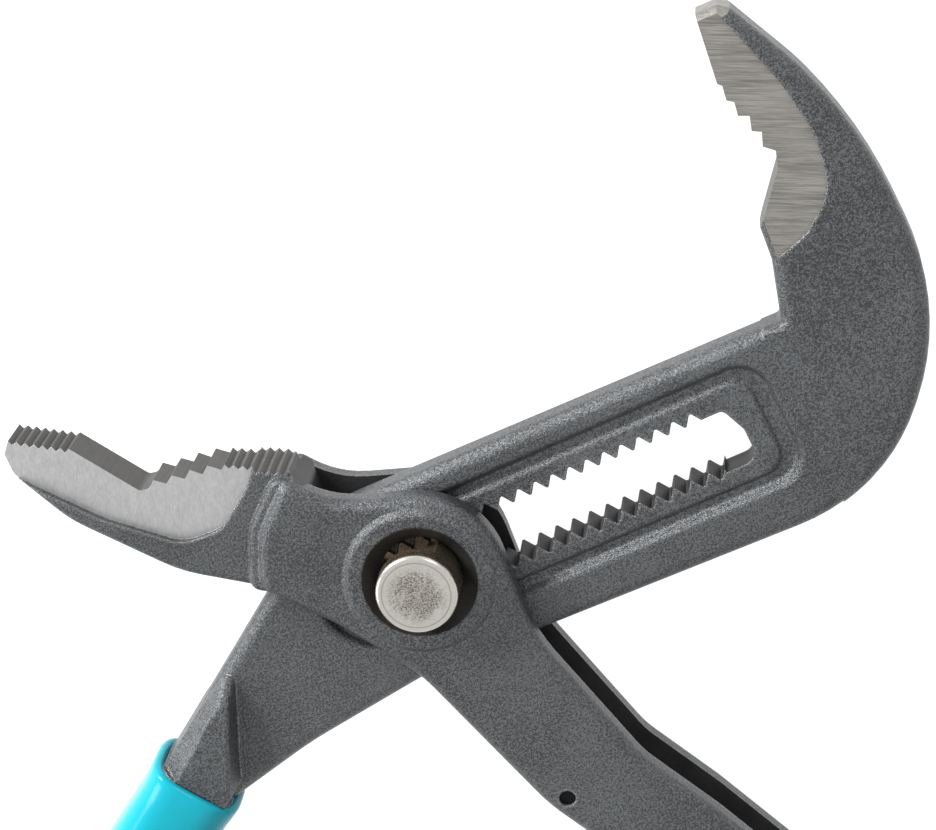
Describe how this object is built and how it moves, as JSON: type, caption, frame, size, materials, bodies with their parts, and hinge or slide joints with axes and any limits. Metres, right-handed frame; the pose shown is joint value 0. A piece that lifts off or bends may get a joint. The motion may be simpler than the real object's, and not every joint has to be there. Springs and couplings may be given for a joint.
{
  "type": "adjustable pliers",
  "caption": "Adjustable box-joint pliers with a toothed slot, a push-button hinge bolt, serrated jaws and dipped grips, lying open.",
  "frame": {"origin": "on the hinge bolt's axis, in the rear boss's face, which the pliers lie on", "axes": "+Z along the bolt towards its push button, +X along the slot towards the hooked jaw, +Y towards the jaws' opening"},
  "size_m": [0.2344, 0.2307, 0.0183],
  "materials": {
    "forging": "dark bluish grey, sandblasted and oiled",
    "bolt_steel": "satin bright steel",
    "spring_steel": "bare spring steel",
    "grip": "teal dipped vinyl, glossy"
  },
  "bodies": {
    "box_side": {"box_leg": "forging", "right_grip": "grip", "stop_pin": "bolt_steel", "retaining_ring": "spring_steel"},
    "bolt_seat": {"spring_seat": "bolt_steel", "bolt_spring": "spring_steel"},
    "slotted_side": {"slotted_leg": "forging", "left_grip": "grip"},
    "bolt": {"hinge_bolt": "bolt_steel"}
  },
  "joints": [
    {"name": "handle_pivot", "type": "hinge", "parent": "box_side", "child": "bolt_seat", "pos_m": [0, 0, 0], "axis": [0, 0, 1], "range_deg": [0, 63.5]},
    {"name": "jaw_adjust", "type": "slide", "parent": "bolt_seat", "child": "slotted_side", "axis": [1, 0, 0], "range_m": [-0.0288, 0]},
    {"name": "button_press", "type": "slide", "parent": "bolt_seat", "child": "bolt", "axis": [0, 0, -1], "range_m": [0, 0.0055], "stiffness_N_per_m": 900, "springref_m": -0.003, "deforming": ["bolt_spring"]}
  ]
}
